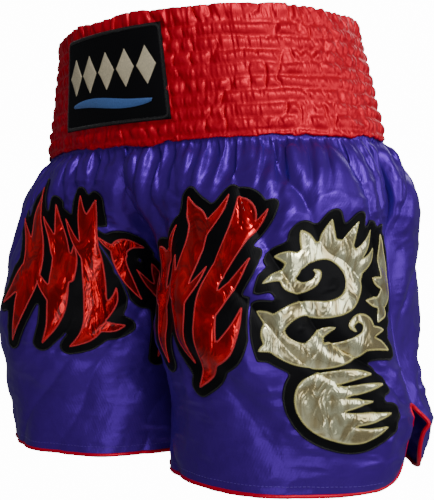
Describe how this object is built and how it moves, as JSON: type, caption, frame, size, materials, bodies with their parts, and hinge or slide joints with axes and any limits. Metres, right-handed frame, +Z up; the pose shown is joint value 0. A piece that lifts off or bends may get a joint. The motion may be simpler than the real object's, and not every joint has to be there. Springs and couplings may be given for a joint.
{
  "type": "boxing shorts",
  "caption": "Short, wide-legged satin fight shorts with a deep gathered elastic waistband, corded hems, side vents, a front label patch and foil applique ornament.",
  "frame": {"origin": "centre of the waist opening at the waistband's top edge", "axes": "+Z up the body, +X towards the wearer's left, -Y the wearer's front"},
  "size_m": [0.4186, 0.2611, 0.3874],
  "materials": {
    "red_satin": "satin",
    "blue_satin": "satin",
    "black_satin": "satin",
    "elastic": "woven",
    "red_cord": "satin",
    "red_foil": "mirror foil",
    "gold_foil": "mirror foil",
    "cream_thread": "embroidery",
    "blue_thread": "embroidery"
  },
  "bodies": {
    "root": {"waistband_casing": "red_satin", "elastic_band_1": "elastic", "elastic_band_2": "elastic", "elastic_band_3": "elastic", "elastic_band_4": "elastic", "elastic_band_5": "elastic", "elastic_band_6": "elastic", "elastic_band_7": "elastic", "elastic_band_8": "elastic", "front_panel_left": "blue_satin", "front_panel_right": "blue_satin", "back_panel_left": "blue_satin", "back_panel_right": "blue_satin", "piping_left_leg": "red_cord", "piping_right_leg": "red_cord", "label_patch": "black_satin", "patch_lozenges": "cream_thread", "patch_bar": "blue_thread", "flame_backing_outer": "black_satin", "flame_backing_inner": "black_satin", "flame_backing_left": "black_satin", "scroll_backing": "black_satin", "flame_outer_1": "red_foil", "flame_outer_2": "red_foil", "flame_outer_3": "red_foil", "flame_inner_1": "red_foil", "flame_inner_2": "red_foil", "flame_left_1": "red_foil", "flame_left_2": "red_foil", "flame_left_3": "red_foil", "scroll_body": "gold_foil", "scroll_crest": "gold_foil", "scroll_tail": "gold_foil"}
  },
  "joints": []
}
